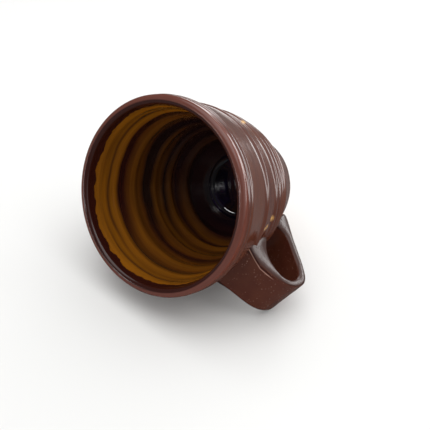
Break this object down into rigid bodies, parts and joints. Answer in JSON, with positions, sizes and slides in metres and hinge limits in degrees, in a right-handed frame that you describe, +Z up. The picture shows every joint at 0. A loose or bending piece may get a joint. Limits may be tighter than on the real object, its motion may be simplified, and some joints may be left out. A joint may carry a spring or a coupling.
{
  "type": "shaving mug",
  "caption": "Wheel-thrown pottery shaving mug: a tapered, ridged bowl with a rounded lip, a turned foot and one wide flat strap handle, glazed brown outside and amber inside.",
  "frame": {"origin": "centre of the underside of the foot, on the mug's turning axis", "axes": "+Z up along the mug's axis to the mouth; the handle points to -X; Y runs across the strap"},
  "size_m": [0.1192, 0.098, 0.09],
  "materials": {
    "fired_clay": "matte",
    "slip": "matte",
    "brown_glaze": "gloss",
    "amber_glaze": "gloss",
    "blue_black_glaze": "gloss"
  },
  "bodies": {
    "root": {"thrown_clay_body": "fired_clay", "handle_strap": "fired_clay", "upper_slip_joint": "slip", "lower_slip_joint": "slip", "outer_brown_glaze": "brown_glaze", "handle_brown_glaze": "brown_glaze", "inner_amber_glaze": "amber_glaze", "floor_glaze_pool": "blue_black_glaze"}
  },
  "joints": []
}
